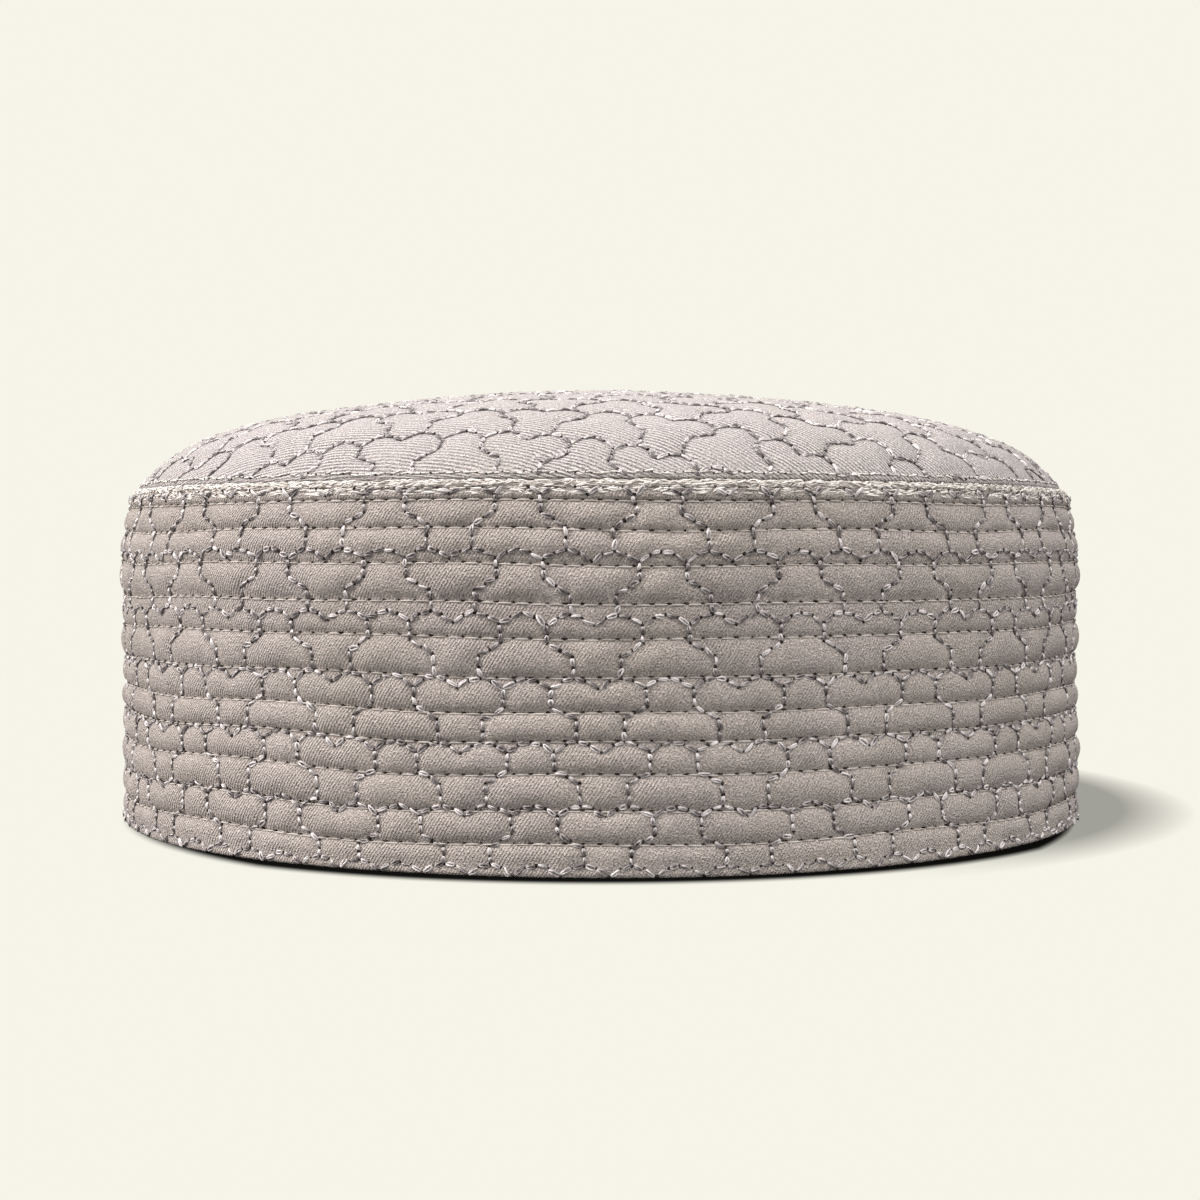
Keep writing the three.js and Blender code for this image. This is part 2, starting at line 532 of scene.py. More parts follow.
# The crown's ornament lies in rows that slope towards the camera on the right.
CROWN_REPEAT = 21.7
CROWN_ROW = 13.1
ROW_SLOPE = math.radians(15)
FRONT_ROW = 83.6
FRONT_PHASE = 2.9
PHASE_PER_ROW = 0.57
CROWN_SCALLOP = 2.5
CROWN_UPRIGHT_TOP = 3.0
CROWN_UPRIGHT_STEP = 2.6
CROWN_PUFF = 0.62
CROWN_SUNK = 0.4
CROWN_REACH = 2.6
CROWN_SOFTENING = 6


def crown_repeat(x, y):
    """A place on the flat round as (repeats along its row, rows back from the front one)."""
    along = x * math.cos(ROW_SLOPE) + y * math.sin(ROW_SLOPE)
    forward = y * math.cos(ROW_SLOPE) - x * math.sin(ROW_SLOPE)
    back = (FRONT_ROW - forward) / CROWN_ROW
    phase = FRONT_PHASE - PHASE_PER_ROW * back
    return (along - phase) / CROWN_REPEAT, back


def crown_flat(repeats, back):
    """The other way round: the place on the flat round, x to the right and y to the camera."""
    along = repeats * CROWN_REPEAT + FRONT_PHASE - PHASE_PER_ROW * back
    forward = FRONT_ROW - back * CROWN_ROW
    x = along * math.cos(ROW_SLOPE) - forward * math.sin(ROW_SLOPE)
    y = along * math.sin(ROW_SLOPE) + forward * math.cos(ROW_SLOPE)
    return x, y


scallop_top = CROWN_SCALLOP / CROWN_ROW
crown_scallops = np.stack([SCALLOP_U, scallop_top * np.abs(np.sin(math.pi * SCALLOP_U))], axis=1)
first_bend = 1 - CROWN_UPRIGHT_TOP / CROWN_ROW
second_bend = first_bend - CROWN_UPRIGHT_STEP / CROWN_ROW
crown_upright = np.array([
    (0.0, 1.0),
    (0.0, (1 + first_bend) / 2),
    (0.0, first_bend),
    (0.25, (first_bend + second_bend) / 2),
    (0.5, second_bend),
    (0.5, second_bend * 2 / 3 + scallop_top / 3),
    (0.5, second_bend / 3 + scallop_top * 2 / 3),
    (0.5, scallop_top),
])
crown_lines = [crown_scallops, crown_upright, mirrored(crown_upright)]

crown_sewn = np.zeros((int(CROWN_ROW / CELL), int(CROWN_REPEAT / CELL)), bool)
field_rows, field_columns = crown_sewn.shape
for needles in crown_lines:
    points = thread_line(needles, spacing=0.01)
    rows = (points[:, 1] * field_rows).astype(int) % field_rows
    columns = (points[:, 0] / SCALLOPS * field_columns).astype(int) % field_columns
    crown_sewn[rows, columns] = True
crown_rise = stretched_cloth(crown_sewn, np.zeros(crown_sewn.shape), CELL, CROWN_REACH)
crown_puff = softened((crown_rise / crown_rise.max()) ** PILLOW_ROUNDNESS, CROWN_SOFTENING, False)
near_crown = spread(crown_sewn)

# The padding fades in from just inside the edge, and the edge itself is drawn in.
EDGE_FLAT = 0.6
EDGE_FADE = 2.5
EDGE_SINK = 0.15
BROAD_LUMPS = 0.1
SMALL_LUMPS = 0.05


def crown_lumps(x, y):
    """Slight unevenness: broad waves of 5 to 7 cm, and small ones of about 2 cm."""
    broad = BROAD_LUMPS * np.sin(x / 9 + np.sin(y / 7)) * np.sin(y / 11 + 1.3)
    return broad + SMALL_LUMPS * np.sin(x / 2.9 + 2 * np.sin(y / 4.1))


def crown_point(x, y, lift=0.0):
    """A place on the outside of the crown, in millimetres, from its place on the flat round."""
    length = np.hypot(x, y)
    safe = np.maximum(length, 1e-6)
    radius = np.interp(length, meridian_length, meridian[:, 0])
    height = np.interp(length, meridian_length, meridian[:, 1])
    run = np.interp(length, meridian_length, meridian_slope[:, 0])
    fall = np.interp(length, meridian_length, meridian_slope[:, 1])
    steep = np.hypot(run, fall)
    repeats, back = crown_repeat(x, y)
    puff = sampled(crown_puff, repeats, back * field_rows)
    free = np.clip((DOME_LENGTH - EDGE_FLAT - length) / EDGE_FADE, 0, 1)
    padding = free * (CROWN_PUFF * puff - CROWN_SUNK + crown_lumps(x, y))
    out = padding + (free - 1) * EDGE_SINK * (length < DOME_LENGTH) + lift
    radius = radius - fall / steep * out
    height = height + run / steep * out
    return np.stack([radius * x / safe, -radius * y / safe, height], axis=-1)


CROWN_COLUMNS = 280
CROWN_TRIANGLES = 132000

bpy.ops.object.select_all(action="DESELECT")
bpy.ops.mesh.primitive_grid_add(x_subdivisions=CROWN_COLUMNS, y_subdivisions=CROWN_COLUMNS, size=2)
crown = bpy.context.object
crown.name = "quilted_crown"
flat = flat_places(crown)
# Each ring of the square grid becomes a ring of the round.
ring = np.abs(flat).max(axis=1)
wide = np.abs(flat[:, 0]) >= np.abs(flat[:, 1])
longer = np.where(wide, flat[:, 0], flat[:, 1])
shorter = np.where(wide, flat[:, 1], flat[:, 0])
turn = shorter / np.where(ring == 0, 1, longer) * math.pi / 4
sign = np.sign(longer)
flat_x = DISC_RADIUS * ring * sign * np.where(wide, np.cos(turn), np.sin(turn))
flat_y = DISC_RADIUS * ring * sign * np.where(wide, np.sin(turn), np.cos(turn))
cloth_map(crown, np.stack([flat_x, -flat_y], axis=-1))
repeats, back = crown_repeat(flat_x, flat_y)
# Painted shade in the pinch beside the crown's ornament, as on the band.
pinch_shade = np.clip(sampled(near_crown, repeats, back * field_rows) * PINCH_SHADE_GAIN, 0, 1)
tinted(crown, "pinch_shade", pinch_shade * (np.hypot(flat_x, flat_y) < DOME_LENGTH))
crown.data.vertices.foreach_set("co", (crown_point(flat_x, flat_y) * MM).ravel())
wall = crown.modifiers.new("wall", "SOLIDIFY")
wall.thickness = CROWN_THICKNESS * MM
wall.offset = -1 if crown.data.polygons[0].normal.z > 0 else 1
bpy.ops.object.modifier_apply(modifier=wall.name)
face_away(crown)
thinned(crown, CROWN_TRIANGLES)
# The ribs are drawn a little coarser than real twill's, as wide as they show in the photo.
crown_twill = cotton_twill("crown_twill", rib_angle=math.radians(-26), rib_pitch=0.72,
                           rib_shade=0.5, faintest=0.5, warm="#D6CCC4", pink="#DED3D1")
finished(crown, crown_twill, "cotton_twill", "crown")

# Seam roll
# The seam between crown and band is a cord oversewn with many fine strands of pale thread.
# They run almost along the roll, dive into it and come up again.
roll_low, roll_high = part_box("seam_roll")
ROLL_HALF = (roll_high.z - roll_low.z) / 2 / MM
ROLL_HEIGHT = (roll_high.z + roll_low.z) / 2 / MM
ROLL_RADIUS = roll_high.x / MM - ROLL_HALF
CORD_HALF = ROLL_HALF - 0.2
CORD_STEPS = 320
CORD_SIDES = 10
STRANDS = 9
STRAND_STEPS = 560
STRAND_HALF = 0.1
STRAND_SIDES = 3
# The strands lie side by side from under the roll to its top, in degrees. They sway round it, in
# radians, and dive in and out, in millimetres.
LOWEST_STRAND = -75
STRAND_SPAN = 190
WIDE_SWAY = (0.35, 0.6)
FINE_SWAY = 0.2
STRAND_DIVE = 0.2


def thread_ring(paths, half, sides):
    """Points and faces of closed threads, for paths given as (thread, step, place)."""
    ahead = np.roll(paths, -1, 1) - np.roll(paths, 1, 1)
    ahead /= np.linalg.norm(ahead, axis=2, keepdims=True)
    side = np.cross(ahead, (0, 0, 1.0))
    side /= np.linalg.norm(side, axis=2, keepdims=True)
    up = np.cross(side, ahead)
    turns = np.arange(sides) / sides * 2 * math.pi
    points = (paths[:, :, None] + half * np.cos(turns)[:, None] * side[:, :, None]
              + half * np.sin(turns)[:, None] * up[:, :, None])
    threads, steps = paths.shape[:2]
    index = np.arange(threads * steps * sides).reshape(threads, steps, sides)
    beside = np.roll(index, -1, 2)
    faces = np.stack([index, beside, np.roll(beside, -1, 1), np.roll(index, -1, 1)], axis=-1)
    return points.reshape(-1, 3), faces.reshape(-1, 4)


def joined(name, points, faces):
    """One piece made of many small closed shapes, from all their points and faces."""
    mesh = bpy.data.meshes.new(name)
    mesh.from_pydata(points * MM, [], faces)
    mesh.shade_smooth()
    piece = bpy.data.objects.new(name, mesh)
    bpy.context.collection.objects.link(piece)
    return piece


strand_draw = np.random.default_rng(21)
roll_turn = np.linspace(-math.pi, math.pi, STRAND_STEPS, endpoint=False)


def strand_wave(turns):
    """A sine wave along a strand, with a whole number of turns and a start of its own."""
    return np.sin(roll_turn * strand_draw.integers(*turns) + strand_draw.uniform(0, 6))


strands = []
for strand in range(STRANDS):
    around = math.radians(LOWEST_STRAND + STRAND_SPAN * strand / (STRANDS - 1))
    sway = strand_draw.uniform(*WIDE_SWAY) * strand_wave(turns=(40, 80))
    sway += FINE_SWAY * strand_wave(turns=(90, 150))
    reach = CORD_HALF + STRAND_DIVE * strand_wave(turns=(90, 170))
    strands.append(round_axis(ROLL_RADIUS + reach * np.cos(around + sway), roll_turn,
                              ROLL_HEIGHT + reach * np.sin(around + sway)))
cord_turn = np.linspace(-math.pi, math.pi, CORD_STEPS, endpoint=False)
cord_path = round_axis(ROLL_RADIUS, cord_turn, ROLL_HEIGHT)
cord_points, cord_faces = thread_ring(cord_path[None], CORD_HALF, CORD_SIDES)
strand_points, strand_faces = thread_ring(np.array(strands), STRAND_HALF, STRAND_SIDES)
roll = joined("seam_roll_threads", np.concatenate([cord_points, strand_points]),
              np.concatenate([cord_faces, strand_faces + len(cord_points)]))
strand_tones = np.repeat(strand_draw.uniform(0.2, 1, STRANDS), STRAND_STEPS * STRAND_SIDES)
tinted(roll, "tone", np.concatenate([np.zeros(len(cord_points)), strand_tones]))
face_away(roll)

# The tone of a thread changes about every millimetre. Its fibres are drawn 0.25 mm wide, ten times
# coarser than real ones, so that they show.
TONES_PER_METRE = 1100.0
FIBRES_PER_METRE = 4000.0
FIBRE_RELIEF = 0.08 * MM


def sewing_thread(name, dark, light, roughness, glint):
    """Twisted sewing thread: smooth fibres that catch the light along each turn of the twist."""
    thread, shader = new_material(name)
    body = add_node(thread, "TexCoord").outputs["Object"]
    tone = add_node(thread, "TexNoise", {"Vector": body}, {"Scale": TONES_PER_METRE, "Detail": 2.0})
    own = add_node(thread, "Attribute", attribute_name="tone").outputs["Fac"]
    mixed = maths(thread, "ADD", tone, own)
    even = ramp(thread, mixed, 0.55, 1.35)
    colour = add_node(thread, "Mix", {"Factor": even}, {"A": linear(dark), "B": linear(light)},
                      data_type="RGBA")
    fibres = add_node(thread, "TexNoise", {"Vector": body}, {"Scale": FIBRES_PER_METRE, "Detail": 1.0})
    bump = add_node(thread, "Bump", {"Height": fibres}, {"Strength": 0.6, "Distance": FIBRE_RELIEF})
    thread.node_tree.links.new(colour.outputs["Result"], shader.inputs["Base Color"])
    thread.node_tree.links.new(bump.outputs[0], shader.inputs["Normal"])
    shader.inputs["Roughness"].default_value = roughness
    shader.inputs["Specular IOR Level"].default_value = glint
    return thread


# Mercerised cotton, pale and with a soft gloss, so the roll is the lightest line on the cap.
roll_thread = sewing_thread("pale_thread", "#B9AFA6", "#FFF9F2", roughness=0.5, glint=0.5)
finished(roll, roll_thread, "embroidery_thread", "seam_roll")

# Ornament in chain stitch
# Each stitch is a loop of shiny grey thread that comes up through the end of the last one.
# A loop is narrow where it leaves the cloth and wide where the next one holds it down.
LINK_WIDTH = 0.9
LINK_OVERLAP = 0.98
LINK_SEGMENTS = 8
LINK_SIDES = 4
LINK_THREAD = 0.2
LINK_TAPER = 0.2
# A loop stands up in its middle and lies low at its ends, and none reaches the floor.
LINK_LIFT = 0.33
LINK_ENDS_DROP = 0.24
LOWEST_THREAD = 0.02
LOWEST_STITCH = 0.2
TOP_OVERLAP = 0.6
# How much the loops differ: in radians, as shares and, across the line, in millimetres.
HEADING_SCATTER = 0.2
TILT_SCATTER = 0.35
LENGTH_SCATTER = 0.09
WIDTH_SCATTER = 0.2
THREAD_SCATTER = 0.1
ACROSS_SCATTER = 0.09
# Most loops are dark and a few are light, and each gets a painted highlight where it leaves the cloth.
TONE_RANGE = 0.95
TONE_POWER = 1.8
START_HIGHLIGHT = 0.45


def pattern_shape(add, **settings):
    """Points and faces of a small shape, which is added and taken away again."""
    bpy.ops.object.select_all(action="DESELECT")
    add(**settings)
    shape = bpy.context.object
    points = np.array([vertex.co for vertex in shape.data.vertices])
    faces = [list(face.vertices) for face in shape.data.polygons]
    bpy.data.objects.remove(shape)
    return points, faces


link_points, link_faces = pattern_shape(
    bpy.ops.mesh.primitive_torus_add, major_segments=LINK_SEGMENTS, minor_segments=LINK_SIDES,
    major_radius=1.0, minor_radius=0.5)
link_distance = np.linalg.norm(link_points[:, :2], axis=1, keepdims=True)
link_ring = link_points[:, :2] / link_distance
link_out = (link_distance[:, 0] - 1) / 0.5
link_up = link_points[:, 2] / 0.5


def joined_copies(name, points, shape_faces, tones):
    """One piece made of many copies of a small shape, for points given as (copy, point, place)."""
    copies, per_shape = points.shape[:2]
    faces = [[corner + copy * per_shape for corner in face]
             for copy in range(copies) for face in shape_faces]
    piece = joined(name, points.reshape(-1, 3), faces)
    tinted(piece, "tone", np.broadcast_to(tones, (copies, per_shape)).ravel())
    return piece


def surface_frame(surface, start, end):
    """Middle, length and axes of a stitch that runs between two places on the cloth."""
    middle = (start + end) / 2
    first = surface(*start.T)
    last = surface(*end.T)
    centre = (first + last) / 2
    ahead = last - first
    length = np.linalg.norm(ahead, axis=1, keepdims=True)
    ahead = ahead / length
    outward = surface(*middle.T, 1.0) - surface(*middle.T, 0.0)
    side = np.cross(outward, ahead)
    side /= np.linalg.norm(side, axis=1, keepdims=True)
    up = np.cross(ahead, side)
    return centre, length, ahead, side, up


def set_out(places, shares, axes):
    """Points of the shape at each of these places, by how far they lie along its three axes."""
    points = places[:, None]
    for share, axis in zip(shares, axes):
        points = points + share[..., None] * axis[:, None]
    return points


def swung(first, second, turn):
    """Two axes of a stitch, turned in the plane that they span."""
    return (first * np.cos(turn) + second * np.sin(turn), second * np.cos(turn) - first * np.sin(turn))


def chain(name, surface, start, end, seed):
    """A chain of looped stitches, one for each pair of needle points."""
    draw = np.random.default_rng(seed)
    count = len(start)
    centre, length, ahead, side, up = surface_frame(surface, start, end)
    ahead, side = swung(ahead, side, draw.normal(0, HEADING_SCATTER, (count, 1)))
    side, up = swung(side, up, draw.normal(0, TILT_SCATTER, (count, 1)))
    long = length * LINK_OVERLAP * draw.normal(1, LENGTH_SCATTER, (count, 1)) / 2
    wide = LINK_WIDTH / 2 * draw.normal(1, WIDTH_SCATTER, (count, 1))
    shift = draw.normal(0, ACROSS_SCATTER, (count, 1))
    thick = LINK_THREAD * draw.normal(1, THREAD_SCATTER, (count, 1))
    x, y = link_ring.T
    taper = 1 - LINK_TAPER + LINK_TAPER * x
    along = (long - thick) * x + thick * link_out * x
    across = (wide - thick) * y * taper + thick * link_out * y + shift
    lift = LINK_LIFT - LINK_ENDS_DROP * x ** 2 + thick * link_up
    points = set_out(centre, (along, across, lift), (ahead, side, up))
    points[..., 2] = np.maximum(points[..., 2], LOWEST_THREAD)
    # The end where a loop leaves the cloth gets a painted highlight on top of its own tone.
    tones = TONE_RANGE * draw.uniform(0, 1, (count, 1)) ** TONE_POWER + START_HIGHLIGHT * (x < -0.6)
    return joined_copies(name, points, link_faces, tones)


def band_runs(lines):
    """Start and end, as (angle, height), of every stitch of these lines, all round the band."""
    starts, ends = [], []
    for needles in lines:
        for repeat in range(REPEATS_ROUND):
            angle = band_phase(needles[:, 1]) + (repeat + needles[:, 0] / SCALLOPS) * REPEAT
            angle = (angle + math.pi) % (2 * math.pi) - math.pi
            placed = np.stack([angle, needles[:, 1]], axis=1)
            starts.append(placed[:-1])
            ends.append(placed[1:])
    starts, ends = np.concatenate(starts), np.concatenate(ends)
    kept = np.abs(starts[:, 0] - ends[:, 0]) < REPEAT
    kept &= np.minimum(starts[:, 1], ends[:, 1]) > LOWEST_STITCH
    kept &= np.maximum(starts[:, 1], ends[:, 1]) < BAND_TOP + TOP_OVERLAP
    return starts[kept], ends[kept]


# Viscose rayon, grey and glossy: its loops glint against the matt cloth.
chain_thread = sewing_thread("rayon_thread", "#756D6C", "#E4DCDA", roughness=0.3, glint=0.7)
scallop_starts, scallop_ends = band_runs(band_lines[:len(SCALLOP_LINES)])
scallops = chain("band_scallops", band_point, scallop_starts, scallop_ends, seed=31)
finished(scallops, chain_thread, "embroidery_thread")
upright_starts, upright_ends = band_runs(band_lines[len(SCALLOP_LINES):])
uprights = chain("band_uprights", band_point, upright_starts, upright_ends, seed=32)
finished(uprights, chain_thread, "embroidery_thread")

# The rows and repeats that cover the crown. A stitch that would cross its edge ends there.
CROWN_ROWS = range(-1, 15)
CROWN_REPEATS = range(-6, 7)
EDGE_OF_ORNAMENT = DOME_LENGTH - 0.3
SHORTEST_STUB = 0.5
crown_starts, crown_ends = [], []
for needles in crown_lines:
    for row in CROWN_ROWS:
        for repeat in CROWN_REPEATS:
            x, y = crown_flat(repeat + needles[:, 0] / SCALLOPS, row + needles[:, 1])
            placed = np.stack([x, y], axis=1)
            crown_starts.append(placed[:-1])
            crown_ends.append(placed[1:])
crown_starts, crown_ends = np.concatenate(crown_starts), np.concatenate(crown_ends)
from_middle = np.stack([np.hypot(*crown_starts.T), np.hypot(*crown_ends.T)], axis=1)
kept = from_middle.min(axis=1) < EDGE_OF_ORNAMENT - SHORTEST_STUB
crown_starts, crown_ends, from_middle = crown_starts[kept], crown_ends[kept], from_middle[kept]
crown_starts *= np.minimum(1, EDGE_OF_ORNAMENT / from_middle[:, :1])
crown_ends *= np.minimum(1, EDGE_OF_ORNAMENT / from_middle[:, 1:])
crown_chain = chain("crown_ornament", crown_point, crown_starts, crown_ends, seed=33)
finished(crown_chain, chain_thread, "embroidery_thread")

# Quilting stitches
# A plain lockstitch in thread of the cloth's colour lies in every groove of the band.
# The needle leaves a small hole between stitches, and one at the end of each chain loop; each is shown as a
# low dark cap of painted shade.
STITCH_HALF = 0.15
STITCH_FLATNESS = 1.25
STITCH_COVERS = 0.9
LOCK_DROP = 0.2
LOCK_LIFT = 0.25
HOLE_RELIEF = 0.12
STITCHES_ROUND = round(2 * math.pi * CAP_RADIUS / LOCKSTITCH)
STITCH_PITCH = 2 * math.pi / STITCHES_ROUND

stitch_points, stitch_faces = pattern_shape(
    bpy.ops.mesh.primitive_uv_sphere_add, segments=4, ring_count=4, radius=1.0)


def own_tones(count, seed):
    """A tone for each of many stitches or holes."""
    return np.random.default_rng(seed).uniform(0.2, 1, (count, 1))


def straight_stitches(name, surface, start, end, half, lift, seed):
    """Short straight stitches, thickest in their middle, one for each start and end."""
    draw = np.random.default_rng(seed)
    count = len(start)
    centre, length, *axes = surface_frame(surface, start, end)
    thick = half * draw.normal(1, 0.1, (count, 1))
    along = length / 2 * STITCH_COVERS * stitch_points[:, 2]
    across = thick * stitch_points[:, 0] * STITCH_FLATNESS + draw.normal(0, 0.03, (count, 1))
    rise = lift + thick * stitch_points[:, 1]
    points = set_out(centre, (along, across, rise), axes)
    return joined_copies(name, points, stitch_faces, own_tones(count, seed))


seam_angles = -math.pi + (np.arange(STITCHES_ROUND) + 0.5) * STITCH_PITCH
lock_starts = np.concatenate([np.stack([seam_angles, np.full(STITCHES_ROUND, seam)], axis=1)
                              for seam in SEAMS[1:-1]])
lock_ends = lock_starts + (STITCH_PITCH, 0)
lock = straight_stitches("quilting_stitches", band_point, lock_starts - (0, LOCK_DROP),
                         lock_ends - (0, LOCK_DROP), STITCH_HALF, LOCK_LIFT, seed=41)
# Plain cotton, matt and close to the cloth's colour, so that only its stitches' edges show.
cotton_thread = sewing_thread("cotton_thread", "#9F968D", "#CAC1B9", roughness=0.6, glint=0.4)
finished(lock, cotton_thread, "embroidery_thread")

hole_points, hole_faces = pattern_shape(
    bpy.ops.mesh.primitive_cone_add, vertices=5, radius1=1.0, radius2=0.0, depth=1.0)


def hole_places(surface, start, end, wide, tall, lift, seed):
    """Low dark caps of painted shade over the needle holes where stitches start, each of its own size."""
    draw = np.random.default_rng(seed)
    count = len(start)
    _, _, ahead, side, up = surface_frame(surface, start, end)
    first = surface(*start.T) + draw.normal(-0.04, 0.05, (count, 1)) * ahead
    wides = wide * draw.uniform(0.35, 1.15, (count, 1)) * hole_points[:, 0]
    talls = tall * draw.uniform(0.5, 1.15, (count, 1)) * hole_points[:, 1]
    rise = lift + HOLE_RELIEF * hole_points[:, 2]
    points = set_out(first, (wides, talls, rise), (ahead, side, up))
    points[..., 2] = np.maximum(points[..., 2], LOWEST_THREAD)
    return points


holes = np.concatenate([
    hole_places(band_point, lock_starts, lock_ends, wide=0.55, tall=0.22, lift=0.2, seed=51),
    hole_places(band_point, scallop_starts, scallop_ends, wide=0.36, tall=0.36, lift=0.25, seed=52),
    hole_places(band_point, upright_starts, upright_ends, wide=0.36, tall=0.36, lift=0.25, seed=53),
    hole_places(crown_point, crown_starts, crown_ends, wide=0.32, tall=0.34, lift=0.24, seed=54),
])
needle_holes = joined_copies("needle_holes", holes, hole_faces, own_tones(len(holes), seed=55))
# Painted shade of a hole in cloth, with no gloss at all: hardly any light comes back out of it.
painted_hole_shade = sewing_thread("needle_shadow", "#28221F", "#453E3A", roughness=1.0, glint=0.0)
finished(needle_holes, painted_hole_shade, "cotton_twill")

# Oversewn edge
# Short stitches of the roll's thread lie across the roll at a slant and over the band's top edge,
# and a tight row of them holds the crown's edge down beside it.
EDGE_STITCHES = 430
SLANTED_STITCHES = 2400
STRIP_STITCHES = 1300
EDGE_INSET = 0.9


def roll_point(angle, around, lift=0.0):
    """A place on the roll, from the angle round the cap and the angle round the roll."""
    reach = ROLL_HALF + lift
    return round_axis(ROLL_RADIUS + reach * np.cos(around), angle, ROLL_HEIGHT + reach * np.sin(around))


def crown_ring(radius, turn):
    """Places on the flat round of the crown, from their distance and angle from its middle."""
    return np.stack([radius * np.sin(turn), radius * np.cos(turn)], axis=1)


edge_draw = np.random.default_rng(61)
edge_turn = np.arange(EDGE_STITCHES) + edge_draw.uniform(-0.25, 0.25, EDGE_STITCHES)
edge_turn = edge_turn * 2 * math.pi / EDGE_STITCHES
edge_length = edge_draw.uniform(0.9, 2.0, EDGE_STITCHES) / CROWN_RADIUS
edge_near = DOME_LENGTH - EDGE_INSET + edge_draw.normal(0, 0.16, EDGE_STITCHES)
edge_far = DOME_LENGTH - EDGE_INSET + edge_draw.normal(0, 0.22, EDGE_STITCHES)
edge_starts = crown_ring(edge_near, edge_turn)
edge_ends = crown_ring(edge_far, edge_turn + edge_length)
edge_row = straight_stitches("crown_edge_stitches", crown_point, edge_starts, edge_ends,
                             half=0.15, lift=0.16, seed=62)
finished(edge_row, roll_thread, "embroidery_thread")
# Dark caps of painted shade at this row's needle holes.
edge_hole_places = hole_places(crown_point, edge_starts, edge_ends, wide=0.3, tall=0.22, lift=0.18, seed=63)
edge_holes = joined_copies("crown_edge_holes", edge_hole_places, hole_faces,
                           own_tones(EDGE_STITCHES, seed=64))
finished(edge_holes, painted_hole_shade, "cotton_twill")

slant_turn = edge_draw.uniform(-math.pi, math.pi, SLANTED_STITCHES)
slant_around = edge_draw.uniform(-1.3, 1.6, SLANTED_STITCHES)
slant_length = edge_draw.uniform(0.7, 1.9, SLANTED_STITCHES) / ROLL_RADIUS
slant_rise = edge_draw.normal(0.3, 0.9, SLANTED_STITCHES)
slant_starts = np.stack([slant_turn, slant_around], axis=1)
slanted = straight_stitches("seam_roll_slants", roll_point, slant_starts,
                            slant_starts + np.stack([slant_length, slant_rise], axis=1),
                            half=0.13, lift=0.0, seed=65)
finished(slanted, roll_thread, "embroidery_thread")

strip_turn = edge_draw.uniform(-math.pi, math.pi, STRIP_STITCHES)
strip_height = BAND_TOP + edge_draw.uniform(-0.55, 0.45, STRIP_STITCHES)
strip_length = edge_draw.uniform(1.0, 2.6, STRIP_STITCHES) / CAP_RADIUS
strip_rise = edge_draw.normal(0.1, 0.4, STRIP_STITCHES)
strip_starts = np.stack([strip_turn, strip_height], axis=1)
strip_ends = strip_starts + np.stack([strip_length, strip_rise], axis=1)
strip_ends[:, 1] = np.clip(strip_ends[:, 1], BAND_TOP - 0.6, BAND_TOP + 0.5)
strip = straight_stitches("band_top_strands", band_point, strip_starts, strip_ends,
                          half=0.12, lift=0.06, seed=66)
finished(strip, roll_thread, "embroidery_thread")

# Floor, light and camera
# A plain ivory sweep. The light comes from a broad tent, brightest behind the cap and on its left,
# so the front of the band is its darkest side, and from a lamp at the upper left.
IVORY = "#F6F4E8"
FLOOR_RADIUS = 3.0
WALL_HEIGHT = 2.5
SWEEP_SIDES = 96
# The floor's painted shade, in metres: one soft round, of which only the part on the right shows,
# and a painted dark line under the rim, the shade where its edge curls up.
SHADOW_CENTRE = (-0.010, 0.0196, 0.0)
SHADOW_NEAR = 0.1154
SHADOW_FAR = 0.1292
SHADOW_DEEPEST = 0.61
SHADOW_STARTS = 0.04
SHADOW_FULL = 0.088
# Runs of the dark line: from x, to x, and how wide it is at each end of the run.
CONTACT_LEFT = (-0.0925, -0.055, -0.0048, 0.0024)
CONTACT_FRONT = (-0.055, 0.07, 0.0024, 0.0040)
CONTACT_RIGHT = (0.07, 0.0925, 0.0040, -0.0036)
CONTACT_SOFT = 0.005

bpy.ops.object.select_all(action="DESELECT")
bpy.ops.mesh.primitive_circle_add(vertices=SWEEP_SIDES, radius=FLOOR_RADIUS, fill_type="NGON")
floor = bpy.context.object
floor.name = "studio_floor"
bpy.ops.mesh.primitive_cylinder_add(vertices=SWEEP_SIDES, radius=FLOOR_RADIUS,
                                    depth=WALL_HEIGHT * 2, end_fill_type="NOTHING")
sweep = bpy.context.object
sweep.name = "studio_sweep"
sweep.visible_shadow = False
for surface in (floor, sweep):
    surface.visible_diffuse = False
    surface.visible_glossy = False

# Matt background paper, lit so evenly that it has no grain: ivory, and almost black in its painted shade.
paper, paper_shader = new_material("ivory_paper")
paper_shader.inputs["Base Color"].default_value = linear("#0C0C0B")
paper_shader.inputs["Roughness"].default_value = 1.0
paper_shader.inputs["Specular IOR Level"].default_value = 0.0
glow = add_node(paper, "Emission", values={"Color": linear(IVORY)})
floor_place = add_node(paper, "TexCoord").outputs["Object"]
floor_x = add_node(paper, "SeparateXYZ", {"Vector": floor_place}).outputs["X"]
off_centre = add_node(paper, "VectorMath", {0: floor_place}, {1: SHADOW_CENTRE}, operation="SUBTRACT")
from_shadow = add_node(paper, "VectorMath", {0: off_centre}, operation="LENGTH").outputs["Value"]
cast = ramp(paper, from_shadow, SHADOW_NEAR, SHADOW_FAR, SHADOW_DEEPEST, 0.0)
on_right = ramp(paper, floor_x, SHADOW_STARTS, SHADOW_FULL, smooth=True)
beside = maths(paper, "MULTIPLY", cast, on_right)
from_axis = add_node(paper, "VectorMath", {0: floor_place}, operation="LENGTH").outputs["Value"]
widths = [ramp(paper, floor_x, near, far, first, last)
          for near, far, first, last in (CONTACT_LEFT, CONTACT_FRONT, CONTACT_RIGHT)]
narrower = maths(paper, "MINIMUM", widths[0], widths[1])
width = maths(paper, "MINIMUM", narrower, widths[2])
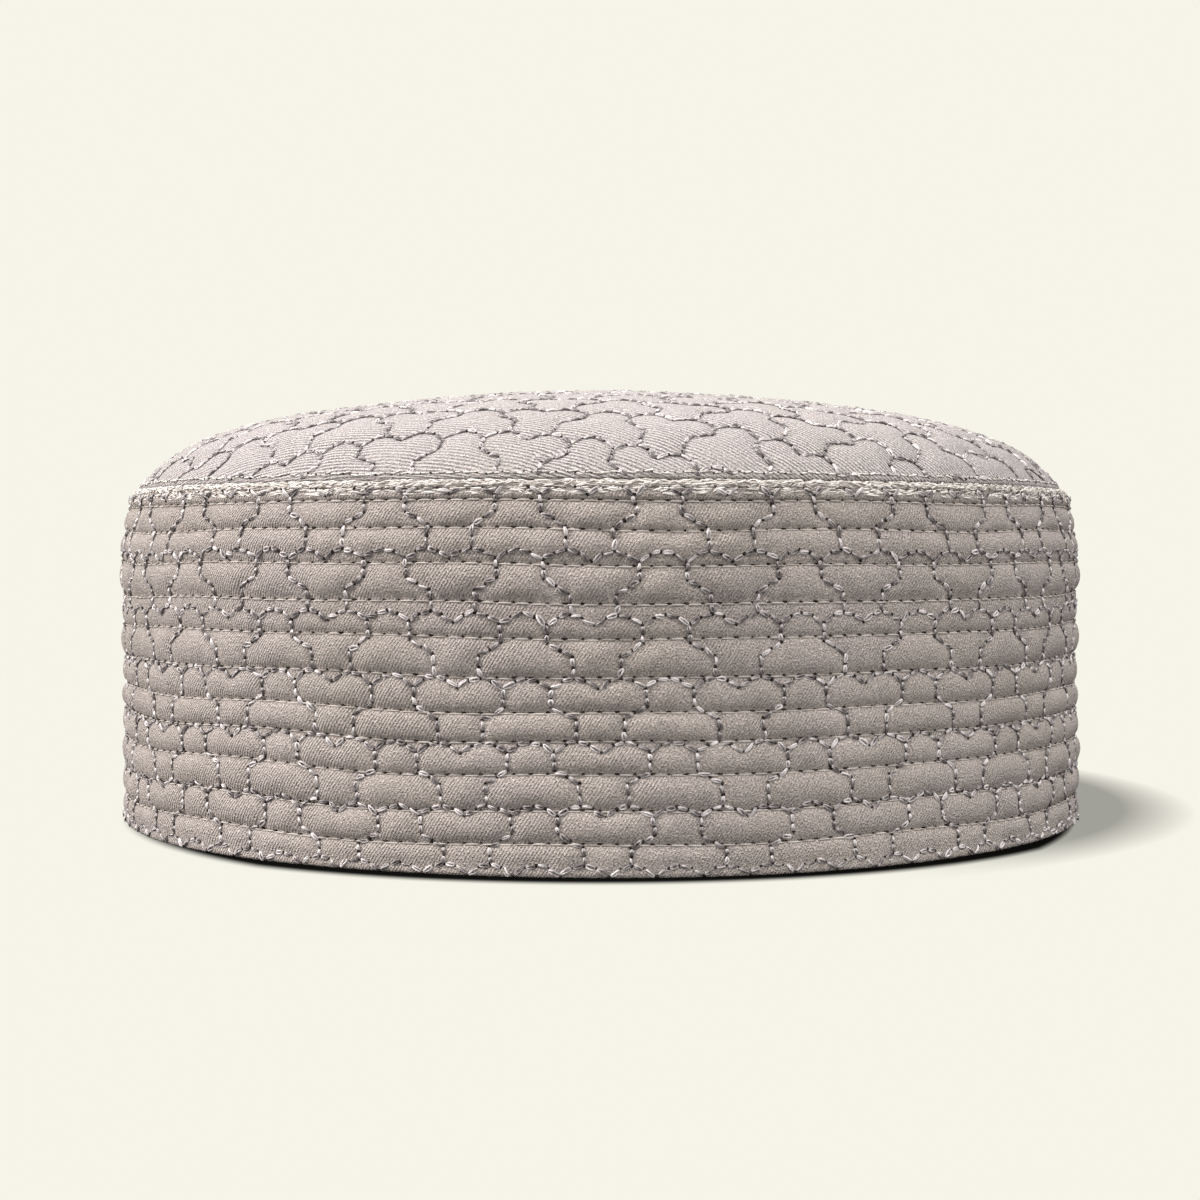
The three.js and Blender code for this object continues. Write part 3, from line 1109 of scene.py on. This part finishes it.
from_contact = maths(paper, "SUBTRACT", from_axis, width)
under_rim = ramp(paper, from_contact, CAP_RADIUS * MM, CAP_RADIUS * MM + CONTACT_SOFT, 1.0, 0.0, smooth=True)
shaded = maths(paper, "MAXIMUM", beside, under_rim, use_clamp=True)
blend = add_node(paper, "MixShader", {0: shaded, 1: glow, 2: paper_shader})
paper_surface = paper.node_tree.nodes["Material Output"].inputs["Surface"]
paper.node_tree.links.new(blend.outputs[0], paper_surface)
floor.data.materials.append(paper)

# The same paper where it rises behind the cap. It shows no shade, so it runs on from the floor.
backdrop, _ = new_material("ivory_backdrop")
back_glow = add_node(backdrop, "Emission", values={"Color": linear(IVORY)})
back_surface = backdrop.node_tree.nodes["Material Output"].inputs["Surface"]
backdrop.node_tree.links.new(back_glow.outputs[0], back_surface)
sweep.data.materials.append(backdrop)

# The tent is brightest overhead and beyond the cap. It fades out under the horizon, because the
# floor gives back little light.
OVERHEAD = 1.07
BEYOND = 0.5
BEFORE = 0.12
BELOW = 0.03
AWAY = (-0.45, 0.9, 0)
FADE_FROM = -0.6
FADE_TO = 0.25
world = bpy.data.worlds.new("studio")
world.use_nodes = True
bpy.context.scene.world = world
tent = world.node_tree.nodes["Background"]
tent.inputs["Color"].default_value = (1.0, 0.99, 0.985, 1.0)
sky = add_node(world, "TexCoord").outputs["Generated"]
above = add_node(world, "VectorMath", {0: sky}, {1: (0, 0, 1)}, operation="DOT_PRODUCT")
overhead = ramp(world, above.outputs["Value"], 0.0, 1.0, 0.0, OVERHEAD)
beyond = add_node(world, "VectorMath", {0: sky}, {1: AWAY}, operation="DOT_PRODUCT")
behind = ramp(world, beyond.outputs["Value"], -1.0, 1.0, BEFORE, BEYOND)
horizon = ramp(world, above.outputs["Value"], FADE_FROM, FADE_TO, BELOW, 1.0, smooth=True)
brightness = maths(world, "MULTIPLY_ADD", behind, horizon, overhead)
world.node_tree.links.new(brightness.outputs[0], tent.inputs["Strength"])


def lamp(name, kind, place, power, **settings):
    """A lamp that points at the cap."""
    bpy.ops.object.light_add(type=kind, location=place)
    light = bpy.context.object
    light.name = name
    light.data.energy = power
    for setting, value in settings.items():
        setattr(light.data, setting, value)
    light.rotation_mode = "QUATERNION"
    light.rotation_quaternion = (-light.location).to_track_quat("-Z", "Y")
    return light


lamp("key_lamp", "SUN", place=(-0.85, -0.11, 0.55), power=2.75, angle=math.radians(9),
     color=(1.0, 0.965, 0.955))
lamp("front_lamp", "AREA", place=(0.10, -0.46, 0.86), power=3.05, size=0.12)
lamp("right_card", "AREA", place=(0.68, -0.16, 0.45), power=1.3, size=0.2)
lamp("left_card", "AREA", place=(-0.8, 0.25, 0.32), power=2.3, size=0.2)
# A low strip of light just in front of the rim, as a pale table throws it back.
bounce = lamp("bounce_card", "AREA", place=(0.05, -0.17, 0.003), power=0.1, shape="RECTANGLE",
              size=0.44, size_y=0.05)
bounce.visible_camera = False

# The photo's view: from just under the middle of the cap, close by, and tilted down slightly.
VIEW_DISTANCE = 0.411
VIEW_HEIGHT = 0.0511
VIEW_DOWN = math.radians(1.45)
FOCAL_PIXELS = 2069.5
FRAME_PIXELS = 1200
SENSOR = 36.0
camera_data = bpy.data.cameras.new("camera")
camera = bpy.data.objects.new("camera", camera_data)
bpy.context.collection.objects.link(camera)
camera_data.sensor_width = SENSOR
camera_data.lens = SENSOR * FOCAL_PIXELS / FRAME_PIXELS
camera_data.clip_start = 0.01
camera.location = (0, -VIEW_DISTANCE, VIEW_HEIGHT)
camera.rotation_euler = (math.pi / 2 - VIEW_DOWN, 0, 0)
bpy.context.scene.camera = camera
bpy.context.scene.view_settings.view_transform = "Standard"
